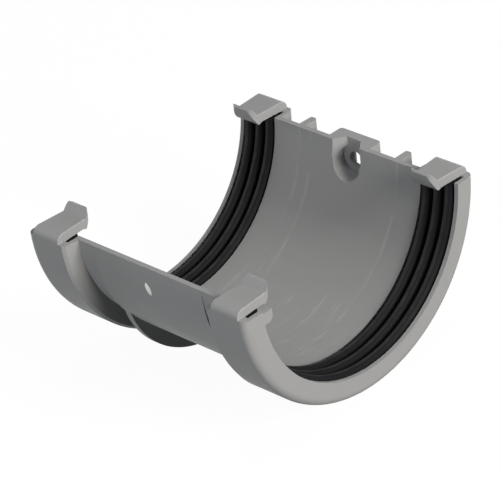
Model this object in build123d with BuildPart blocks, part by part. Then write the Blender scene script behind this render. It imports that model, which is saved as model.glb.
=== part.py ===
from build123d import *
from math import atan2, degrees, sqrt
import os

# Gutter union for 112 mm half-round guttering, with its two push-in rubber seals.
# Millimetres. The gutter's axis is X and passes through the origin, which is at the union's
# mid-length. -Y is the front, where the thumb tabs are pressed, and +Y is the fascia board.

# The trough
union_length = 120.0
bore_radius = 57.0            # 1 mm more than the outside of a 112 mm gutter
wall = 2.3
rim_z = -1.6                  # the cut-off level of all rims

# The seal housing at each end
lip_thickness = 1.9           # end lip, outboard of the seal
seal_pocket_width = 17.9
seal_pocket_depth = 6.2       # from the bore
housing_wall = 3.8            # behind the seal
flank_thickness = 2.0         # the housing's inboard flank
flank_draft = 0.8             # how far the flank leans over its height
flank_chamfer = 1.1
lip_round = 3.4
lip_bore_chamfer = 0.8        # where the gutter is laid in

# The raised band round the middle
band_half_width = 29.7
band_bulge = 2.6              # how far the band's outer circle is dropped below the bore's

# The two bracket ribs, flush with the sides of the band at the front
rib_thickness = 3.2
rib_toe_in = 1.9              # how far each has come in from the band's side at the fascia
rib_back_round = 1.0
rib_drop = 12.5               # how far the ribs reach down past the trough
rib_front_inset = 11.4        # by which the rib's front sweep is tighter than the bore
rib_front_y = -3.7            # centre of that sweep
rib_heel_round = 10.0
fascia_gap = 9.5              # from the bore to the plane of the fascia board

# The screw boss on the fascia side
boss_half_width = 11.0
boss_back_round = 1.5
screw_z = -11.0
screw_hole_radius = 3.4       # for a 5 mm round-head screw
screw_seat_depth = 4.5        # from the fascia to where the screw's head bears
screw_plate = 2.0             # thickness of the plate under the head
screw_seat_radius = 6.4
relief_half_width = 3.8       # the relief behind the plate, open to the fascia
relief_height = 12.0
relief_drop = 1.5             # its middle, below the screw's
driver_way_mouth = 7.8        # half-width of the driver's way where it opens in the bore
driver_way_rise = 0.6         # the middle of its mouth, above the screw's
driver_way_neck = 3.7         # half-width of the channel above it, at the screw's seat
driver_way_shoulder = 0.5     # how far inside the bore the channel starts to narrow

# The four gutter clips
clip_tip_width = 12.0         # before its corners are rounded
clip_side_taper = 1.3         # how much wider each side is at the housing's outside
clip_tip_round = 3.7
clip_rise = 3.6               # its top, above the rim's level
clip_shoulder_round = 3.3
clip_fold_reach = 6.8         # inside the bore, where the plate turns up into the thumb tab
clip_fold_round = 2.5
clip_tip_reach = 10.3
clip_tip_rise = 6.9
clip_tip_slope = 0.3
clip_tab_thickness = 1.3
clip_face_radius = 17.0       # the face that the gutter's rim slides down
clip_nose_reach = 6.6
clip_nose_drop = 1.1          # the hook's nose, below the rim's level
clip_nose_ramp = 2.0          # how far the hook's underside slopes up behind the nose
clip_underside_drop = 0.3
clip_root_depth = 2.4         # how far its root reaches into the housing's wall
clip_edge_chamfer = 0.4

# The end stop on the front of each lip
stop_reach = 5.0
stop_drop = 0.8               # its top, below the rim's level
stop_height = 5.2

# The seals
seal_side_gap = 0.7           # clear of the pocket's side walls
seal_end_gap = 0.4            # clear of the clips' undersides
seal_base = 3.8               # thickness of the strip between its crests
seal_crest_proud = 0.4        # how far the crests stand into the bore
seal_crest_width = 2.9        # at its foot
seal_crest_tip = 1.3
seal_crest_count = 3

# Places worked out from the sizes above
half_length = union_length / 2
pocket_outer_x = half_length - lip_thickness
pocket_inner_x = pocket_outer_x - seal_pocket_width
pocket_mid_x = (pocket_inner_x + pocket_outer_x) / 2
flank_x = pocket_inner_x - flank_thickness
seal_pocket_radius = bore_radius + seal_pocket_depth
housing_radius = seal_pocket_radius + housing_wall
trough_radius = bore_radius + wall
rib_depth = trough_radius + rib_drop
rib_front_radius = bore_radius - rib_front_inset
rib_front_z = rib_front_radius - rib_depth
fascia_y = bore_radius + fascia_gap
screw_seat_y = fascia_y - screw_seat_depth
relief_z = screw_z - relief_drop
driver_way_start_y = bore_radius - 2 * wall
driver_way_shoulder_y = bore_radius - driver_way_shoulder
driver_way_mouth_z = screw_z + driver_way_rise
clip_root_width = clip_tip_width + 2 * clip_side_taper
clip_outer_y = sqrt(housing_radius**2 - rim_z**2)
clip_fold_y = bore_radius - clip_fold_reach
clip_tip_y = bore_radius - clip_tip_reach
clip_nose_y = bore_radius - clip_nose_reach
clip_top_z = rim_z + clip_rise
clip_tip_z = rim_z + clip_tip_rise
clip_nose_z = rim_z - clip_nose_drop
clip_underside_z = rim_z - clip_underside_drop
clip_root_z = rim_z - clip_root_depth
stop_top_z = rim_z - stop_drop
seal_valley_radius = seal_pocket_radius - seal_base
seal_crest_radius = bore_radius - seal_crest_proud

os.makedirs("parts", exist_ok=True)


# One clip, on the front side at the +X end: a plate over the gutter's rim with a hook's nose
# beneath and a thumb tab turned up. Its outside is flush with the housing's.
with BuildPart() as clip:
    with BuildSketch(Plane.YZ.offset(pocket_mid_x)) as clip_side:
        with BuildLine():
            Polyline(
                (-clip_nose_y, clip_nose_z),
                (-clip_nose_y - clip_nose_ramp, clip_underside_z),
                (-seal_pocket_radius, clip_underside_z),
                (-seal_pocket_radius, clip_root_z),
                (-clip_outer_y, rim_z),
                (-clip_outer_y, clip_top_z),
                (-clip_fold_y, clip_top_z),
                (-clip_tip_y - clip_tab_thickness, clip_tip_z),
                (-clip_tip_y, clip_tip_z - clip_tip_slope),
            )
            RadiusArc(
                (-clip_tip_y, clip_tip_z - clip_tip_slope),
                (-clip_nose_y, clip_nose_z),
                clip_face_radius,
            )
        make_face()
        top_corners = clip_side.vertices().filter_by_position(Axis.Y, clip_top_z - 0.01, clip_top_z + 0.01)
        fillet(top_corners.sort_by(Axis.X)[0], radius=clip_shoulder_round)
        fillet(top_corners.sort_by(Axis.X)[-1], radius=clip_fold_round)
        tip_corners = clip_side.vertices().group_by(Axis.X)[-1] + clip_side.vertices().group_by(Axis.Y)[-1]
        fillet(tip_corners, radius=clip_tab_thickness / 3)
        nose = clip_side.vertices().filter_by_position(Axis.X, -clip_nose_y - 0.01, -clip_nose_y + 0.01)
        fillet(nose, radius=clip_tab_thickness / 3)
    extrude(amount=clip_root_width / 2, both=True)
    # seen from above, it narrows to a tip with rounded corners
    with BuildSketch(Plane.XY) as clip_plan:
        with BuildLine():
            Polyline(
                (pocket_mid_x - clip_root_width / 2, -clip_outer_y),
                (pocket_mid_x - clip_tip_width / 2, -clip_tip_y),
                (pocket_mid_x + clip_tip_width / 2, -clip_tip_y),
                (pocket_mid_x + clip_root_width / 2, -clip_outer_y),
                close=True,
            )
        make_face()
        fillet(clip_plan.vertices().group_by(Axis.Y)[-1], radius=clip_tip_round)
    extrude(amount=housing_radius, both=True, mode=Mode.INTERSECT)
    # the long edges of the plate, over its shoulder and down to the rim
    plate_edges = clip.edges().filter_by(lambda edge: abs(edge.tangent_at(0.5).X) < 0.5
                                         and edge.center().Y < -clip_fold_y - clip_fold_round
                                         and edge.center().Z > rim_z)
    chamfer(plate_edges, length=clip_edge_chamfer)


# The end stop on the front of the +X lip: a small rounded web under the rim's level.
with BuildPart() as stop:
    with BuildSketch(Plane.YZ.offset(pocket_outer_x)) as stop_side:
        with BuildLine():
            stop_inner_y = -bore_radius + stop_reach
            Polyline(
                (stop_inner_y, stop_top_z - stop_height / 2),
                (stop_inner_y, stop_top_z),
                (-bore_radius - lip_round, stop_top_z),
                (-bore_radius - lip_round, stop_top_z - stop_height),
                (stop_inner_y - stop_height / 2, stop_top_z - stop_height),
            )
            RadiusArc(
                (stop_inner_y - stop_height / 2, stop_top_z - stop_height),
                (stop_inner_y, stop_top_z - stop_height / 2),
                -stop_height / 2,
            )
        make_face()
    extrude(amount=lip_thickness)


# The two bracket ribs: one outline seen from the side, and a strip each seen from above.
with BuildPart() as ribs:
    with BuildSketch(Plane.YZ) as rib_side:
        with BuildLine():
            CenterArc((rib_front_y, rib_front_z), rib_front_radius, 180, 90)
            Polyline(
                (rib_front_y, -rib_depth),
                (fascia_y, -rib_depth),
                (fascia_y, 0),
                (0, 0),
                (rib_front_y - rib_front_radius, rib_front_z),
            )
        make_face()
        heel = rib_side.vertices().group_by(Axis.X)[-1].sort_by(Axis.Y)[0]
        fillet(heel, radius=rib_heel_round)
    extrude(amount=band_half_width, both=True)
    with BuildSketch(Plane.XY) as rib_plan:
        with BuildLine():
            Polyline(
                (band_half_width, rib_front_y - rib_front_radius),
                (band_half_width - rib_toe_in, fascia_y),
                (band_half_width - rib_toe_in - rib_thickness, fascia_y),
                (band_half_width - rib_thickness, rib_front_y - rib_front_radius),
                close=True,
            )
        make_face()
        fillet(rib_plan.vertices().group_by(Axis.Y)[-1], radius=rib_back_round)
        mirror(about=Plane.YZ)
    extrude(amount=rib_depth, both=True, mode=Mode.INTERSECT)


# The screw boss, rounded below about the screw, and at its back corners.
with BuildPart() as boss:
    with BuildSketch(Plane.XZ.offset(-fascia_y)):
        with Locations((0, screw_z)):
            Circle(boss_half_width)
        with Locations((0, screw_z / 2)):
            Rectangle(2 * boss_half_width, -screw_z)
    extrude(amount=fascia_y - bore_radius / 2)
    with BuildSketch(Plane.XY) as boss_plan:
        with Locations((0, fascia_y / 2)):
            Rectangle(2 * boss_half_width, fascia_y)
        fillet(boss_plan.vertices().group_by(Axis.Y)[-1], radius=boss_back_round)
    extrude(amount=-rib_depth, mode=Mode.INTERSECT)


# The union itself, one moulding.
with BuildPart() as union_body:
    # wall of the trough and the two seal housings, turned about the gutter's axis
    with BuildSketch(Plane.XY) as wall_section:
        with BuildLine():
            Polyline(
                (0, bore_radius),
                (pocket_inner_x, bore_radius),
                (pocket_inner_x, seal_pocket_radius),
                (pocket_outer_x, seal_pocket_radius),
                (pocket_outer_x, bore_radius),
                (half_length, bore_radius),
                (half_length, housing_radius),
                (flank_x + flank_draft, housing_radius),
                (flank_x, trough_radius),
                (0, trough_radius),
                close=True,
            )
        make_face()
        lip_edges = wall_section.vertices().group_by(Axis.X)[-1].sort_by(Axis.Y)
        fillet(lip_edges[-1], radius=lip_round)
        chamfer(lip_edges[0], length=lip_bore_chamfer)
        flank_edge = wall_section.vertices().group_by(Axis.Y)[-1].sort_by(Axis.X)[0]
        chamfer(flank_edge, length=flank_chamfer)
        mirror(about=Plane.YZ)
    revolve(axis=Axis.X, revolution_arc=-180)

    # the raised band: its outer circle sits lower than the bore, so it fades out at the rims
    with BuildSketch(Plane.YZ):
        with Locations((0, -band_bulge)):
            Circle(trough_radius)
    extrude(amount=band_half_width, both=True)

    add(ribs.part)
    add(boss.part)

    # the gutter's way through, and everything above the rims
    with BuildSketch(Plane.YZ):
        Circle(bore_radius)
    extrude(amount=union_length, both=True, mode=Mode.SUBTRACT)
    with BuildSketch(Plane.XY.offset(rim_z)):
        Rectangle(2 * union_length, 4 * housing_radius)
    extrude(amount=2 * housing_radius, mode=Mode.SUBTRACT)

    # the driver's way: a tapered pocket round the screw, and a channel above it up to the rim
    with BuildSketch(Plane.XZ.offset(-screw_seat_y)):
        with Locations((0, screw_z)):
            Circle(screw_seat_radius)
    with BuildSketch(Plane.XZ.offset(-driver_way_start_y)):
        with Locations((0, driver_way_mouth_z)):
            Circle(driver_way_mouth)
    loft(mode=Mode.SUBTRACT)
    with BuildSketch(Plane.XY.offset(driver_way_mouth_z)):
        with BuildLine():
            Polyline(
                (-driver_way_mouth, driver_way_start_y),
                (-driver_way_mouth, driver_way_shoulder_y),
                (-driver_way_neck, screw_seat_y),
                (driver_way_neck, screw_seat_y),
                (driver_way_mouth, driver_way_shoulder_y),
                (driver_way_mouth, driver_way_start_y),
                close=True,
            )
        make_face()
    extrude(amount=rim_z - driver_way_mouth_z, mode=Mode.SUBTRACT)
    # the screw's hole, and the relief behind its plate
    with BuildSketch(Plane.XZ.offset(-fascia_y)):
        with Locations((0, screw_z)):
            Circle(screw_hole_radius)
    extrude(amount=fascia_y - driver_way_start_y, mode=Mode.SUBTRACT)
    with BuildSketch(Plane.XZ.offset(-fascia_y)):
        with Locations((0, relief_z)):
            Rectangle(2 * relief_half_width, relief_height)
    extrude(amount=screw_seat_depth - screw_plate, mode=Mode.SUBTRACT)

    # clips and end stops
    for end in (clip.part, clip.part.mirror(Plane.XZ), stop.part):
        add(end)
        add(end.mirror(Plane.YZ))

union_body.part.label = "union_body"
export_step(union_body.part, "parts/union_body.step")


# One seal: a strip of rubber with rounded crests across the gutter, bent round the pocket.
def make_seal(mid_x):
    """One seal, seated in the pocket whose middle is at mid_x."""
    seal_width = seal_pocket_width - 2 * seal_side_gap
    crest_pitch = (seal_width - seal_crest_width) / (seal_crest_count - 1)
    crest_middle = (seal_crest_radius + seal_valley_radius) / 2
    crest_height = seal_valley_radius - seal_crest_radius
    crest_slope = degrees(atan2(crest_height, (seal_crest_width - seal_crest_tip) / 2))
    with BuildPart() as seal:
        with BuildSketch(Plane.XY) as seal_section:
            with Locations((mid_x, (seal_pocket_radius + seal_valley_radius) / 2)):
                Rectangle(seal_width, seal_pocket_radius - seal_valley_radius)
            with Locations((mid_x, crest_middle)):
                with GridLocations(crest_pitch, 0, seal_crest_count, 1):
                    Trapezoid(seal_crest_width, crest_height, crest_slope, rotation=180)
        revolve(axis=Axis.X)
        split(bisect_by=Plane.XY.offset(clip_underside_z - seal_end_gap), keep=Keep.BOTTOM)
    return seal.part


seal_left = make_seal(-pocket_mid_x)
seal_left.label = "seal_left"
export_step(seal_left, "parts/seal_left.step")

seal_right = make_seal(pocket_mid_x)
seal_right.label = "seal_right"
export_step(seal_right, "parts/seal_right.step")
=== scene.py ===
"""The looks of the gutter union: its moulded body, its rubber seals, the studio and the camera.

Metres, in the frame of the CAD model. X runs along the gutter, +Y points to the fascia board and
+Z points up. The origin is on the gutter's axis, half way along the union.
"""

import logging
import math
from dataclasses import dataclass, field
from enum import Enum
from typing import Any

import bmesh
import bpy
from mathutils import Matrix, Vector


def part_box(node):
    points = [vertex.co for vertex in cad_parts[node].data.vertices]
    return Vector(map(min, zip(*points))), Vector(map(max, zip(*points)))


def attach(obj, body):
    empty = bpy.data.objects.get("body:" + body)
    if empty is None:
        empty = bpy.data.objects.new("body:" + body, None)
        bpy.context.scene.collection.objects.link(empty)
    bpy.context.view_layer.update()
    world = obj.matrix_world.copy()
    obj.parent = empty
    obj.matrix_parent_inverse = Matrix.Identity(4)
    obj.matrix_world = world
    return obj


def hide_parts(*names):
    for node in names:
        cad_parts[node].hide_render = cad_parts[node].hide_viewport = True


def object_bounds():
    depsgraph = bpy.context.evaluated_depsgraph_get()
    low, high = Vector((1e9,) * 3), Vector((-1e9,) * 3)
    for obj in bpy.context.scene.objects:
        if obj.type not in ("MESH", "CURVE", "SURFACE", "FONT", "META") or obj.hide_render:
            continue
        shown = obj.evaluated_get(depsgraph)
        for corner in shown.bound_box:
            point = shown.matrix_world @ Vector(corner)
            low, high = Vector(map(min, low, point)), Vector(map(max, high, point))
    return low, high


MM = 0.001
LOG = logging.getLogger("gutter_union")
# most values of a noise texture lie between these two
NOISE_LOW, NOISE_HIGH = 0.3, 0.7

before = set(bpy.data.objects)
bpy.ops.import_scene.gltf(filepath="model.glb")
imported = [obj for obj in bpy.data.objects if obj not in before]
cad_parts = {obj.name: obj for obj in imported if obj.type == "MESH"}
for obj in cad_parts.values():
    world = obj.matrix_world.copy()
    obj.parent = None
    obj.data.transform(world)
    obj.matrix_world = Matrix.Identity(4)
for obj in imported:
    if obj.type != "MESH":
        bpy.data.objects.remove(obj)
CAD_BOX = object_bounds()


def linear(hex_colour: str) -> tuple[float, float, float, float]:
    """Turn an sRGB hex colour to linear light.

    Args:
        hex_colour: six hex digits, with or without a leading hash.

    Returns:
        Linear red, green and blue, and an alpha of 1.
    """
    digits = hex_colour.lstrip("#")
    channels = [int(digits[i:i + 2], 16) / 255 for i in (0, 2, 4)]
    # the sRGB curve is a straight line near black, and a power above it
    light = [c / 12.92 if c <= 0.04045 else ((c + 0.055) / 1.055) ** 2.4 for c in channels]
    return (*light, 1.0)


def add_node(
    tree: bpy.types.NodeTree,
    kind: str,
    settings: dict[str | int, Any] | None = None,
    links: dict[str | int, bpy.types.NodeSocket] | None = None,
) -> bpy.types.Node:
    """Add a node, with its settings and what feeds it.

    Args:
        tree: the node tree that gets the node.
        kind: the node's type, such as ShaderNodeTexNoise.
        settings: values by name, for the node's own properties or else its input sockets.
        links: output sockets of other nodes, by the input that each feeds.

    Returns:
        The new node.
    """
    node = tree.nodes.new(kind)
    for name, value in (settings or {}).items():
        if isinstance(name, str) and hasattr(node, name):
            setattr(node, name, value)
        else:
            node.inputs[name].default_value = value
    for name, socket in (links or {}).items():
        tree.links.new(socket, node.inputs[name])
    return node


def new_material(name: str) -> tuple[bpy.types.Material, bpy.types.NodeTree]:
    """Start a node material with an empty tree.

    Args:
        name: the material's name.

    Returns:
        The material and its node tree.
    """
    material = bpy.data.materials.new(name)
    material.use_nodes = True
    material.node_tree.nodes.clear()
    return material, material.node_tree


def new_object(name: str, data: bpy.types.ID) -> bpy.types.Object:
    """Make an object and put it in the scene.

    Args:
        name: the object's name.
        data: its mesh, lamp or camera.

    Returns:
        The object.
    """
    made = bpy.data.objects.new(name, data)
    bpy.context.scene.collection.objects.link(made)
    return made


def seen_directly(tree: bpy.types.NodeTree) -> bpy.types.NodeSocket:
    """Add the test for what the camera sees, straight or by way of gloss or glass.

    Args:
        tree: the node tree of a material or a world.

    Returns:
        The socket that is 1 for such rays, and 0 for the rays that light other surfaces.
    """
    path = add_node(tree, "ShaderNodeLightPath")
    seen = path.outputs["Is Camera Ray"]
    for ray in ("Is Glossy Ray", "Is Transmission Ray"):
        either = {0: seen, 1: path.outputs[ray]}
        seen = add_node(tree, "ShaderNodeMath", {"operation": "MAXIMUM"}, either).outputs["Value"]
    return seen


def distance_from_axis(
    tree: bpy.types.NodeTree, place: bpy.types.NodeSocket,
) -> bpy.types.NodeSocket:
    """Add the distance of a surface point from the gutter's axis, in metres.

    Args:
        tree: the node tree that gets the nodes.
        place: the surface point's place.

    Returns:
        The socket with the distance.
    """
    # without its X, a place is the way from the axis to the point
    across = add_node(
        tree, "ShaderNodeVectorMath", {"operation": "MULTIPLY", 1: (0, 1, 1)}, {0: place},
    )
    radius = add_node(
        tree, "ShaderNodeVectorMath", {"operation": "LENGTH"}, {0: across.outputs["Vector"]},
    )
    return radius.outputs["Value"]


@dataclass(frozen=True)
class MouldedPvc:
    """Injection-moulded PVC-U, grey, from a spark-eroded tool: satin, with faint flow streaks.

    Attributes:
        name: the material's name.
        colour: the plain grey.
        streak_colour: the grey of the flow streaks.
        scuff_colour: the paler grey of the scuffs and the sink lines.
        ior: its refractive index.
        specular: the strength of its reflections.
        smoothest: their least spread, in the darker streaks.
        roughest: their greatest spread, in the paler streaks.
        streak_mm: how wide a streak is.
        streak_scale: the pattern's scale on each axis, small along the gutter, where it is long.
        grain_mm: the width of the tool's grain, as drawn.
        grain_depth_mm: how deep the grain is.
        grain_strength: how strongly that depth shows.
        bore_mm: the radius of the trough's inside, where sinks and scuffs show.
        bore_slack_mm: how far beyond that radius a face still counts as inside.
        sinks_mm: where the inside has sink lines, along the gutter.
        sink_width_mm: half the width of a sink line.
        sink_depth_mm: its depth.
        sink_patch_mm: how long a stretch of it shows before it fades.
        sink_fades: the noise values between which such a stretch fades in.
        sink_share: how strongly a sink line's colour shows, against a scuff's.
        scuff_mm: how wide a scuff is, along the gutter.
        scuff_length_mm: how long it is, round the trough.
        scuff_fades: the noise values between which a scuff fades in.
        scuff_level_mm: the height below which the scuffs grow stronger.
        scuff_depth_mm: how far below that height they are at their strongest.
        scuff_above: the share of that strength that they have above it.
        scuff_share: how much of the paler grey the scuffs and sink lines get.
    """

    name: str = "injection_moulded_pvc_u_grey"
    colour: str = "#828384"
    streak_colour: str = "#878889"
    scuff_colour: str = "#a3a4a5"
    ior: float = 1.53
    specular: float = 0.1
    smoothest: float = 0.45
    roughest: float = 0.56
    streak_mm: float = 9.0
    streak_scale: tuple[float, float, float] = (0.25, 1.0, 1.0)
    grain_mm: float = 0.7
    grain_depth_mm: float = 0.02
    grain_strength: float = 0.25
    bore_mm: float = 57.0
    bore_slack_mm: float = 0.3
    sinks_mm: tuple[float, ...] = (-26.0, -19.5, 27.6)
    sink_width_mm: float = 1.1
    sink_depth_mm: float = 0.03
    sink_patch_mm: float = 14.0
    sink_fades: tuple[float, float] = (0.42, 0.62)
    sink_share: float = 0.8
    scuff_mm: float = 2.2
    scuff_length_mm: float = 24.0
    scuff_fades: tuple[float, float] = (0.58, 0.72)
    scuff_level_mm: float = -47.0
    scuff_depth_mm: float = 5.0
    scuff_above: float = 0.1
    scuff_share: float = 0.42

    def inside(
        self, tree: bpy.types.NodeTree, place: bpy.types.NodeSocket,
    ) -> bpy.types.NodeSocket:
        """Add the test for the trough's inside.

        Args:
            tree: the material's node tree.
            place: the surface point's place.

        Returns:
            The socket that is 1 up to the bore's radius, and 0 on all outer faces.
        """
        test = add_node(
            tree, "ShaderNodeMath",
            {"operation": "LESS_THAN", 1: (self.bore_mm + self.bore_slack_mm) * MM},
            {0: distance_from_axis(tree, place)},
        )
        return test.outputs["Value"]

    def sinks(
        self, tree: bpy.types.NodeTree, along: bpy.types.NodeSocket,
    ) -> bpy.types.NodeSocket:
        """Add the sink lines.

        Args:
            tree: the material's node tree.
            along: the surface point's place along the gutter.

        Returns:
            The socket that is 1 in the middle of each line, and 0 beside them.
        """
        lines = None
        for spot in self.sinks_mm:
            away = add_node(
                tree, "ShaderNodeMath", {"operation": "SUBTRACT", 1: spot * MM}, {0: along},
            )
            size = add_node(
                tree, "ShaderNodeMath", {"operation": "ABSOLUTE"}, {0: away.outputs["Value"]},
            )
            line = add_node(
                tree, "ShaderNodeMapRange",
                {"interpolation_type": "SMOOTHSTEP", "From Min": 0.0,
                 "From Max": self.sink_width_mm * MM, "To Min": 1.0, "To Max": 0.0},
                {"Value": size.outputs["Value"]},
            ).outputs["Result"]
            lines = line if lines is None else add_node(
                tree, "ShaderNodeMath", {"operation": "MAXIMUM"}, {0: lines, 1: line},
            ).outputs["Value"]
        return lines

    def scuffs(
        self, tree: bpy.types.NodeTree, place: bpy.types.NodeSocket, height: bpy.types.NodeSocket,
    ) -> bpy.types.NodeSocket:
        """Add the scuffs that a gutter's end leaves at the bottom of the trough.

        Args:
            tree: the material's node tree.
            place: the surface point's place.
            height: its height.

        Returns:
            The socket that is 0 where there is no scuff, and up to 1 in the middle of one.
        """
        width, length = 1 / (self.scuff_mm * MM), 1 / (self.scuff_length_mm * MM)
        drawn = add_node(
            tree, "ShaderNodeMapping", {"Scale": (width, length, length)}, {"Vector": place},
        )
        noise = add_node(
            tree, "ShaderNodeTexNoise", {"Scale": 1.0, "Detail": 3.0, "Roughness": 0.65},
            {"Vector": drawn.outputs["Vector"]},
        )
        lines = add_node(
            tree, "ShaderNodeMapRange",
            {"From Min": self.scuff_fades[0], "From Max": self.scuff_fades[1]},
            {"Value": noise.outputs["Fac"]},
        )
        low = add_node(
            tree, "ShaderNodeMapRange",
            {"From Min": self.scuff_level_mm * MM,
             "From Max": (self.scuff_level_mm - self.scuff_depth_mm) * MM,
             "To Min": self.scuff_above, "To Max": 1.0},
            {"Value": height},
        )
        kept = add_node(
            tree, "ShaderNodeMath", {"operation": "MULTIPLY"},
            {0: lines.outputs["Result"], 1: low.outputs["Result"]},
        )
        return kept.outputs["Value"]

    def build(self) -> bpy.types.Material:
        """Build the material.

        Returns:
            The material.
        """
        material, tree = new_material(self.name)
        place = add_node(tree, "ShaderNodeTexCoord").outputs["Object"]
        axes = add_node(tree, "ShaderNodeSeparateXYZ", links={0: place}).outputs
        inside = self.inside(tree, place)
        sinks = add_node(
            tree, "ShaderNodeMath", {"operation": "MULTIPLY"},
            {0: self.sinks(tree, axes["X"]), 1: inside},
        )
        # a sink line comes and goes along its length
        patches = add_node(
            tree, "ShaderNodeTexNoise", {"Scale": 1 / (self.sink_patch_mm * MM), "Detail": 2.0},
            {"Vector": place},
        )
        strength = add_node(
            tree, "ShaderNodeMapRange",
            {"From Min": self.sink_fades[0], "From Max": self.sink_fades[1],
             "To Min": 0.0, "To Max": self.sink_share},
            {"Value": patches.outputs["Fac"]},
        )
        broken = add_node(
            tree, "ShaderNodeMath", {"operation": "MULTIPLY"},
            {0: sinks.outputs["Value"], 1: strength.outputs["Result"]},
        )
        scuffs = add_node(
            tree, "ShaderNodeMath", {"operation": "MULTIPLY"},
            {0: self.scuffs(tree, place, axes["Z"]), 1: inside},
        )
        marks = add_node(
            tree, "ShaderNodeMath", {"operation": "MAXIMUM"},
            {0: broken.outputs["Value"], 1: scuffs.outputs["Value"]},
        )
        share = add_node(
            tree, "ShaderNodeMath", {"operation": "MULTIPLY", 1: self.scuff_share},
            {0: marks.outputs["Value"]},
        )
        # the melt ran along the gutter, and left soft streaks a few millimetres wide
        along = add_node(
            tree, "ShaderNodeMapping", {"Scale": self.streak_scale}, {"Vector": place},
        )
        streaks = add_node(
            tree, "ShaderNodeTexNoise",
            {"Scale": 1 / (self.streak_mm * MM), "Detail": 3.0, "Roughness": 0.55,
             "Distortion": 0.6},
            {"Vector": along.outputs["Vector"]},
        )
        tint = add_node(
            tree, "ShaderNodeMix",
            {"data_type": "RGBA", 6: linear(self.colour), 7: linear(self.streak_colour)},
            {0: streaks.outputs["Fac"]},
        )
        wear_and_sheen = add_node(
            tree, "ShaderNodeMix", {"data_type": "RGBA", 7: linear(self.scuff_colour)},
            {0: share.outputs["Value"], 6: tint.outputs[2]},
        )
        # the eroded tool leaves a grain of about 0.1 mm; it is drawn coarser, so that it shows
        grain = add_node(
            tree, "ShaderNodeTexNoise",
            {"Scale": 1 / (self.grain_mm * MM), "Detail": 2.0, "Roughness": 0.6},
            {"Vector": place},
        )
        gloss = add_node(
            tree, "ShaderNodeMapRange",
            {"From Min": NOISE_LOW, "From Max": NOISE_HIGH,
             "To Min": self.smoothest, "To Max": self.roughest},
            {"Value": streaks.outputs["Fac"]},
        )
        sunk = add_node(
            tree, "ShaderNodeBump",
            {"invert": True, "Strength": 1.0, "Distance": self.sink_depth_mm * MM},
            {"Height": sinks.outputs["Value"]},
        )
        bump = add_node(
            tree, "ShaderNodeBump",
            {"Strength": self.grain_strength, "Distance": self.grain_depth_mm * MM},
            {"Height": grain.outputs["Fac"], "Normal": sunk.outputs["Normal"]},
        )
        shader = add_node(
            tree, "ShaderNodeBsdfPrincipled",
            {"IOR": self.ior, "Specular IOR Level": self.specular},
            {
                "Base Color": wear_and_sheen.outputs[2],
                "Roughness": gloss.outputs["Result"],
                "Normal": bump.outputs["Normal"],
            },
        )
        add_node(tree, "ShaderNodeOutputMaterial", links={"Surface": shader.outputs["BSDF"]})
        return material


@dataclass(frozen=True)
class ScarHighlightPvc:
    """The same PVC-U where the sprue was broken off: torn and dull, and drawn white as a painted
    highlight.

    Attributes:
        name: the material's name.
        colour: the white of the torn face, a painted highlight.
        brightest_highlight_colour: the brighter white of the painted highlight, along its torn
            fibres.
        brightest_highlight_colour: the brighter white of its fibres.
        ior: its refractive index.
        specular: the strength of its reflections.
        roughness: their spread.
        tear_mm: how wide a torn fibre is.
        tear_depth_mm: how deep the tears are.
        tear_strength: how strongly that depth shows.
    """

    name: str = "pvc_u_painted_scar_highlight"
    colour: str = "#d8d8d5"
    brightest_highlight_colour: str = "#f4f4f2"
    ior: float = 1.53
    specular: float = 0.2
    roughness: float = 0.7
    tear_mm: float = 0.8
    tear_depth_mm: float = 0.1
    tear_strength: float = 0.5

    def build(self) -> bpy.types.Material:
        """Build the material.

        Returns:
            The material.
        """
        material, tree = new_material(self.name)
        place = add_node(tree, "ShaderNodeTexCoord").outputs["Object"]
        tears = add_node(
            tree, "ShaderNodeTexNoise",
            {"Scale": 1 / (self.tear_mm * MM), "Detail": 3.0, "Roughness": 0.6},
            {"Vector": place},
        )
        # painted highlight: the scar is drawn white where it catches the light, brighter along
        # its torn fibres
        tint = add_node(
            tree, "ShaderNodeMix",
            {"data_type": "RGBA", 6: linear(self.colour), 7: linear(self.brightest_highlight_colour)},
            {0: tears.outputs["Fac"]},
        )
        bump = add_node(
            tree, "ShaderNodeBump",
            {"Strength": self.tear_strength, "Distance": self.tear_depth_mm * MM},
            {"Height": tears.outputs["Fac"]},
        )
        shader = add_node(
            tree, "ShaderNodeBsdfPrincipled",
            {"IOR": self.ior, "Specular IOR Level": self.specular, "Roughness": self.roughness},
            {"Base Color": tint.outputs[2], "Normal": bump.outputs["Normal"]},
        )
        add_node(tree, "ShaderNodeOutputMaterial", links={"Surface": shader.outputs["BSDF"]})
        return material


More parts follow.
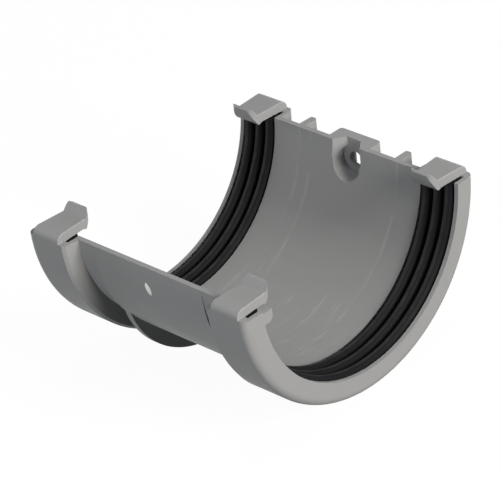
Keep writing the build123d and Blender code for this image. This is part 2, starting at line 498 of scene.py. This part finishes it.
@dataclass(frozen=True)
class MouldedEpdm:
    """Compression-moulded EPDM rubber, carbon black: dull, with a bloom, and a painted highlight
    on the crest tops.

    Attributes:
        name: the material's name.
        colour: the plain black.
        bloom_colour: the black where wax has bloomed to the surface.
        crest_highlight_colour: the dark grey of the painted highlight on the crests' tops.
        ior: its refractive index.
        specular: the strength of its reflections.
        smoothest: their least spread.
        roughest: their greatest spread, where the bloom is thickest.
        bloom_mm: how wide a patch of bloom is.
        crest_top_mm: the radius at the top of a crest.
        crest_foot_mm: the radius at which the painted highlight on its top ends.
        faintest_crest_highlight: how much of the crest colour, a painted highlight, its faintest
            patches get.
        strongest_crest_highlight: how much of it the strongest patches get.
        grain_mm: the width of the mould's grain, as drawn.
        grain_depth_mm: how deep the grain is.
        grain_strength: how strongly that depth shows.
    """

    name: str = "moulded_epdm_rubber_black"
    colour: str = "#0b0b0c"
    bloom_colour: str = "#171718"
    crest_highlight_colour: str = "#353538"
    ior: float = 1.5
    specular: float = 0.06
    smoothest: float = 0.49
    roughest: float = 0.65
    bloom_mm: float = 6.0
    crest_top_mm: float = 55.5
    crest_foot_mm: float = 55.75
    faintest_crest_highlight: float = 0.3
    strongest_crest_highlight: float = 0.9
    grain_mm: float = 0.5
    grain_depth_mm: float = 0.03
    grain_strength: float = 0.3

    def build(self) -> bpy.types.Material:
        """Build the material.

        Returns:
            The material.
        """
        material, tree = new_material(self.name)
        place = add_node(tree, "ShaderNodeTexCoord").outputs["Object"]
        bloom = add_node(
            tree, "ShaderNodeTexNoise",
            {"Scale": 1 / (self.bloom_mm * MM), "Detail": 4.0, "Roughness": 0.6},
            {"Vector": place},
        )
        tint = add_node(
            tree, "ShaderNodeMix",
            {"data_type": "RGBA", 6: linear(self.colour), 7: linear(self.bloom_colour)},
            {0: bloom.outputs["Fac"]},
        )
        # painted highlight: the tops of the crests are drawn paler, in patches, where they catch
        # the light
        top = add_node(
            tree, "ShaderNodeMapRange",
            {"From Min": self.crest_top_mm * MM, "From Max": self.crest_foot_mm * MM,
             "To Min": 1.0, "To Max": 0.0},
            {"Value": distance_from_axis(tree, place)},
        )
        patches = add_node(
            tree, "ShaderNodeMapRange",
            {"From Min": NOISE_LOW, "From Max": NOISE_HIGH,
             "To Min": self.faintest_crest_highlight, "To Max": self.strongest_crest_highlight},
            {"Value": bloom.outputs["Fac"]},
        )
        painted_crest_highlight = add_node(
            tree, "ShaderNodeMath", {"operation": "MULTIPLY"},
            {0: top.outputs["Result"], 1: patches.outputs["Result"]},
        )
        wear_and_sheen = add_node(
            tree, "ShaderNodeMix", {"data_type": "RGBA", 7: linear(self.crest_highlight_colour)},
            {0: painted_crest_highlight.outputs["Value"], 6: tint.outputs[2]},
        )
        # the mould's own grain is finer; it is drawn coarser, so that it shows
        grain = add_node(
            tree, "ShaderNodeTexNoise",
            {"Scale": 1 / (self.grain_mm * MM), "Detail": 2.0, "Roughness": 0.5},
            {"Vector": place},
        )
        gloss = add_node(
            tree, "ShaderNodeMapRange",
            {"From Min": NOISE_LOW, "From Max": NOISE_HIGH,
             "To Min": self.smoothest, "To Max": self.roughest},
            {"Value": bloom.outputs["Fac"]},
        )
        bump = add_node(
            tree, "ShaderNodeBump",
            {"Strength": self.grain_strength, "Distance": self.grain_depth_mm * MM},
            {"Height": grain.outputs["Fac"]},
        )
        shader = add_node(
            tree, "ShaderNodeBsdfPrincipled",
            {"IOR": self.ior, "Specular IOR Level": self.specular},
            {
                "Base Color": wear_and_sheen.outputs[2],
                "Roughness": gloss.outputs["Result"],
                "Normal": bump.outputs["Normal"],
            },
        )
        add_node(tree, "ShaderNodeOutputMaterial", links={"Surface": shader.outputs["BSDF"]})
        return material


@dataclass(frozen=True)
class StudioPaper:
    """White background paper, lit evenly for the camera, with a faint shadow of the object.

    Attributes:
        name: the material's name.
        colour: the paper's colour, which its shaded part keeps.
        unlit_colour: what the object gets back from the paper, as from a floor further down.
        evenness: how much of it is drawn as even white, which leaves the rest for the shadow.
    """

    name: str = "white_background_paper"
    colour: str = "#f4f4f4"
    unlit_colour: str = "#0c0c0c"
    evenness: float = 0.96

    def build(self) -> bpy.types.Material:
        """Build the material.

        Returns:
            The material.
        """
        material, tree = new_material(self.name)
        seen = seen_directly(tree)
        paper = add_node(tree, "ShaderNodeBsdfDiffuse", {"Color": linear(self.colour)})
        white = add_node(tree, "ShaderNodeEmission", {"Strength": 1.0})
        even = add_node(
            tree, "ShaderNodeMixShader", {0: self.evenness},
            {1: paper.outputs["BSDF"], 2: white.outputs["Emission"]},
        )
        dim = add_node(tree, "ShaderNodeBsdfDiffuse", {"Color": linear(self.unlit_colour)})
        mix = add_node(
            tree, "ShaderNodeMixShader",
            links={0: seen, 1: dim.outputs["BSDF"], 2: even.outputs["Shader"]},
        )
        add_node(tree, "ShaderNodeOutputMaterial", links={"Surface": mix.outputs["Shader"]})
        return material


def dress(
    piece: bpy.types.Object, material: bpy.types.Material, edge_degrees: float,
) -> None:
    """Give a piece one material, and smooth shading that breaks at its edges.

    Args:
        piece: the object.
        material: its only material.
        edge_degrees: faces that meet at more than this keep a hard edge.
    """
    piece.data.materials.clear()
    piece.data.materials.append(material)
    piece.data.shade_smooth()
    piece.data.set_sharp_from_angle(angle=math.radians(edge_degrees))


def closed_piece(
    name: str, verts: list[tuple[float, float, float]], faces: list[tuple[int, ...]],
) -> bpy.types.Object:
    """Make a closed piece whose faces all point outwards.

    Args:
        name: the piece's name.
        verts: its points, in metres.
        faces: the numbers of each face's points, in order round it.

    Returns:
        The piece, in the scene.
    """
    mesh = bpy.data.meshes.new(name)
    mesh.from_pydata(verts, [], faces)
    mesh.validate()
    shape = bmesh.new()
    shape.from_mesh(mesh)
    bmesh.ops.recalc_face_normals(shape, faces=shape.faces)
    shape.to_mesh(mesh)
    shape.free()
    return new_object(name, mesh)


@dataclass
class UnionBody:
    """The union's one plastic moulding.

    Attributes:
        node: its CAD node, which is shown as it is.
        edge_degrees: faces that meet at more than this keep a hard edge.
        finish: its material.
    """

    node: str = "union_body"
    edge_degrees: float = 30.0
    finish: MouldedPvc = field(default_factory=MouldedPvc)

    def build(self) -> bpy.types.Object:
        """Dress the moulding.

        Returns:
            The moulding.
        """
        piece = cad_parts[self.node]
        dress(piece, self.finish.build(), self.edge_degrees)
        return piece


@dataclass
class GateScar:
    """The scar on the front of the band where the sprue was broken off, a low long mound, drawn
    white as a painted highlight.

    Attributes:
        band_radius_mm: the radius of the band's outside.
        band_drop_mm: how far the middle of that circle lies below the gutter's axis.
        middle_mm: the scar's middle, along the gutter and in height.
        half_size_mm: half its width, and half its length around the band.
        slant_degrees: how far it leans from upright.
        rise_mm: how far it stands out of the band.
        root_mm: how far its foot reaches into the band.
        waver: how far its outline strays from an oval, as a share, as a torn edge does.
        waver_turns: how often the two waves of that outline go round.
        waver_start: where the first of them starts, in radians.
        rings: the rows of faces up its side, below its cap.
        sides: the points round each row.
        edge_degrees: faces that meet at more than this keep a hard edge.
        finish: its material, white as a painted highlight.
    """

    band_radius_mm: float = 59.3
    band_drop_mm: float = 2.6
    middle_mm: tuple[float, float] = (-1.6, -12.4)
    half_size_mm: tuple[float, float] = (1.5, 3.4)
    slant_degrees: float = 11.0
    rise_mm: float = 0.35
    root_mm: float = 0.3
    waver: float = 0.1
    waver_turns: tuple[int, int] = (3, 2)
    waver_start: float = 1.0
    rings: int = 5
    sides: int = 28
    edge_degrees: float = 60.0
    finish: ScarHighlightPvc = field(default_factory=ScarHighlightPvc)

    def point(self, across: float, around: float, out: float) -> tuple[float, float, float]:
        """Give a point on the band's front.

        Args:
            across: the distance along the gutter from the scar's middle, in millimetres.
            around: the distance up the band from its middle, in millimetres.
            out: how far the point stands out of the band, in millimetres.

        Returns:
            The point, in metres.
        """
        start = math.asin((self.middle_mm[1] + self.band_drop_mm) / self.band_radius_mm)
        angle = start + around / self.band_radius_mm
        radius = self.band_radius_mm + out
        return (
            (self.middle_mm[0] + across) * MM,
            -radius * math.cos(angle) * MM,
            (radius * math.sin(angle) - self.band_drop_mm) * MM,
        )

    def ring(self, row: int) -> list[tuple[float, float, float]]:
        """Work out one ring of points round the mound.

        Args:
            row: the ring's number, from 0 at the foot.

        Returns:
            Its points, in metres.
        """
        slant = math.radians(self.slant_degrees)
        share = 1 - row / (self.rings + 1)
        out = self.rise_mm * (1 - share**2) if row else -self.root_mm
        points = []
        for side in range(self.sides):
            turn = 2 * math.pi * side / self.sides
            first = math.sin(self.waver_turns[0] * turn + self.waver_start)
            second = math.cos(self.waver_turns[1] * turn)
            reach = share * (1 + self.waver * first * second)
            wide = self.half_size_mm[0] * reach * math.cos(turn)
            tall = self.half_size_mm[1] * reach * math.sin(turn)
            across = wide * math.cos(slant) - tall * math.sin(slant)
            around = wide * math.sin(slant) + tall * math.cos(slant)
            points.append(self.point(across, around, out))
        return points

    def build(self) -> bpy.types.Object:
        """Build the scar and dress it.

        Returns:
            The scar.
        """
        verts = [self.point(0, 0, -self.root_mm)]
        for row in range(self.rings + 1):
            verts.extend(self.ring(row))
        top, last = len(verts), 1 + self.rings * self.sides
        verts.append(self.point(0, 0, self.rise_mm))
        faces = []
        for side in range(self.sides):
            after = (side + 1) % self.sides
            faces.append((0, 1 + after, 1 + side))
            for row in range(self.rings):
                low, high = 1 + row * self.sides, 1 + (row + 1) * self.sides
                faces.append((low + side, low + after, high + after, high + side))
            faces.append((last + side, last + after, top))
        piece = closed_piece("gate_scar", verts, faces)
        dress(piece, self.finish.build(), self.edge_degrees)
        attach(piece, "root")
        return piece


class SealedEnd(Enum):
    """The union's two sealed ends, each by the CAD node of its seal."""

    LEFT = "seal_left"
    RIGHT = "seal_right"


@dataclass
class Seal:
    """One moulded rubber seal, lathed about the gutter's axis: a strip with rounded crests.

    Attributes:
        node: the CAD node that it stands for, which gives its place, width and outer radius.
        crest_count: how many crests it has, evenly spaced between its edges.
        crest_foot_mm: how wide each crest is at its foot.
        crest_rise_mm: how high each crest stands above the strip.
        strip_mm: how thick the strip is between its crests.
        edge_mm: the width of the cut on its two back edges.
        crest_steps: the points along half a crest.
        turn_steps: the lengths that the seal is divided into, from one end to the other.
        edge_degrees: faces that meet at more than this keep a hard edge.
    """

    node: str
    crest_count: int = 3
    crest_foot_mm: float = 5.0
    crest_rise_mm: float = 3.9
    strip_mm: float = 3.8
    edge_mm: float = 0.5
    crest_steps: int = 6
    turn_steps: int = 144
    edge_degrees: float = 50.0

    def section(self, width: float, outer: float) -> list[tuple[float, float]]:
        """Work out the cross-section.

        Args:
            width: the seal's width along the gutter, in metres.
            outer: the radius of its back, in metres.

        Returns:
            The outline's points, as a place along the width and a radius.
        """
        edge, half = self.edge_mm * MM, width / 2
        strip, rise = outer - self.strip_mm * MM, self.crest_rise_mm * MM
        foot = self.crest_foot_mm * MM / 2
        pitch = (width - 2 * foot) / (self.crest_count - 1)
        # the two back edges are cut, to clear the corners of the pocket
        points = [
            (-half, outer - edge), (-half + edge, outer), (half - edge, outer),
            (half, outer - edge),
        ]
        for index in reversed(range(self.crest_count)):
            middle = -half + foot + index * pitch
            for step in range(self.crest_steps, -self.crest_steps - 1, -1):
                angle = step / self.crest_steps * math.pi / 2
                points.append((middle + foot * math.sin(angle), strip - rise * math.cos(angle)))
        return points

    def build(self, material: bpy.types.Material) -> bpy.types.Object:
        """Build the seal in its pocket and dress it.

        Args:
            material: the seal's rubber.

        Returns:
            The seal.
        """
        low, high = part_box(self.node)
        middle, outer, end = (low[0] + high[0]) / 2, -low[2], -high[2]
        section = self.section(high[0] - low[0], outer)
        count = len(section)
        verts, faces = [], []
        for turn in range(self.turn_steps + 1):
            for along, radius in section:
                # both ends are cut level, as far below the axis as the CAD seal's
                first = math.asin(end / radius)
                angle = first + (math.pi - 2 * first) * turn / self.turn_steps
                verts.append(
                    (middle + along, -radius * math.cos(angle), -radius * math.sin(angle)),
                )
        for turn in range(self.turn_steps):
            for index in range(count):
                here, after = turn * count + index, turn * count + (index + 1) % count
                faces.append((here, after, after + count, here + count))
        faces.append(tuple(reversed(range(count))))
        faces.append(tuple(self.turn_steps * count + index for index in range(count)))
        piece = closed_piece(self.node + "_rubber", verts, faces)
        dress(piece, material, self.edge_degrees)
        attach(piece, "root")
        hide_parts(self.node)
        return piece


@dataclass
class Lamp:
    """One soft area lamp, aimed at the object.

    Attributes:
        name: the lamp's name.
        towards: the direction from the object to the lamp.
        distance: how far away it is, in metres.
        size: the width of its square face, in metres.
        level: the light it gives a surface that faces it, where 1 shows a colour as written.
        colour: the light's colour.
    """

    name: str
    towards: tuple[float, float, float]
    distance: float
    size: float
    level: float
    colour: str = "#ffffff"

    def build(self) -> None:
        """Build the lamp."""
        data = bpy.data.lights.new(self.name, "AREA")
        data.shape = "SQUARE"
        data.size = self.size
        # a lamp of power P lights a surface that faces it from d away with P / (pi d^2), and
        # white paper shines back with a pi-th of that
        data.energy = self.level * math.pi * math.pi * self.distance**2
        data.color = linear(self.colour)[:3]
        lamp = new_object(self.name, data)
        aim = Vector(self.towards).normalized()
        lamp.location = aim * self.distance
        lamp.rotation_euler = aim.to_track_quat("Z", "Y").to_euler()


@dataclass
class Studio:
    """The floor, the lamps and the white surroundings.

    Attributes:
        floor_size: the width of the square floor, in metres.
        ambient: the strength of the even light from all around.
        ambient_colour: its colour.
        lamps: a key lamp at the right end, and weaker ones above, in front, at the left end and
            behind, so that no side is dark.
    """

    floor_size: float = 8.0
    ambient: float = 0.12
    ambient_colour: str = "#f7faff"
    lamps: tuple[Lamp, ...] = (
        Lamp("key_lamp", (0.9, 0.0, 0.42), distance=1.6, size=0.7, level=1.7, colour="#fffbf5"),
        Lamp("top_lamp", (0.0, 0.0, 1.0), distance=1.8, size=0.45, level=0.2),
        Lamp("front_lamp", (0.05, -1.0, 0.1), distance=1.8, size=0.6, level=0.53),
        Lamp("left_lamp", (-1.0, -0.22, 0.03), distance=1.8, size=0.6, level=0.45),
        Lamp("back_lamp", (-0.1, 1.0, 0.14), distance=1.8, size=0.8, level=0.6),
    )

    def build(self) -> None:
        """Build the floor, the lamps and the world."""
        low, half = CAD_BOX[0][2], self.floor_size / 2
        corners = [(-half, -half, low), (half, -half, low), (half, half, low), (-half, half, low)]
        mesh = bpy.data.meshes.new("studio_floor")
        mesh.from_pydata(corners, [], [(0, 1, 2, 3)])
        floor = new_object("studio_floor", mesh)
        floor.data.materials.append(StudioPaper().build())
        for lamp in self.lamps:
            lamp.build()
        self.surround()

    def surround(self) -> None:
        """Make the world: white where it is seen, and a soft even light on the object."""
        world = bpy.data.worlds.new("white_studio")
        bpy.context.scene.world = world
        world.use_nodes = True
        tree = world.node_tree
        tree.nodes.clear()
        even = add_node(
            tree, "ShaderNodeBackground",
            {"Color": linear(self.ambient_colour), "Strength": self.ambient},
        )
        white = add_node(
            tree, "ShaderNodeBackground", {"Color": linear("#ffffff"), "Strength": 1.0},
        )
        mix = add_node(
            tree, "ShaderNodeMixShader",
            links={
                0: seen_directly(tree), 1: even.outputs["Background"],
                2: white.outputs["Background"],
            },
        )
        add_node(tree, "ShaderNodeOutputWorld", links={"Surface": mix.outputs["Shader"]})


@dataclass
class PhotoCamera:
    """The camera, where the photograph was taken from.

    Attributes:
        place_mm: the camera's place.
        forward: the way it looks.
        right: the direction of the picture's right side.
        focal_length_mm: the lens's focal length.
        film_mm: the width of the film behind it.
        reach: how far it sees, in metres.
    """

    place_mm: tuple[float, float, float] = (788.86, -743.56, 623.77)
    forward: tuple[float, float, float] = (-0.62622, 0.58754, -0.51248)
    right: tuple[float, float, float] = (0.72347, 0.68291, -0.10112)
    focal_length_mm: float = 225.97
    film_mm: float = 36.0
    reach: float = 20.0

    def build(self) -> None:
        """Build the camera and make it the scene's."""
        data = bpy.data.cameras.new("photo_camera")
        data.sensor_width = self.film_mm
        data.lens = self.focal_length_mm
        data.clip_end = self.reach
        camera = new_object("photo_camera", data)
        back = -Vector(self.forward).normalized()
        right = Vector(self.right).normalized()
        turn = Matrix((right, back.cross(right), back)).transposed().to_4x4()
        camera.matrix_world = Matrix.Translation(Vector(self.place_mm) * MM) @ turn
        bpy.context.scene.camera = camera


def main() -> None:
    """Build the camera, the pieces and the studio, in that order."""
    logging.basicConfig(level=logging.INFO, format="%(name)s: %(message)s")
    bpy.context.scene.view_settings.view_transform = "Standard"
    PhotoCamera().build()
    pieces = [UnionBody().build(), GateScar().build()]
    rubber = MouldedEpdm().build()
    pieces.extend(Seal(end.value).build(rubber) for end in SealedEnd)
    for piece in pieces:
        LOG.info("%s: %d vertices", piece.name, len(piece.data.vertices))
    Studio().build()


if __name__ == "__main__":
    main()
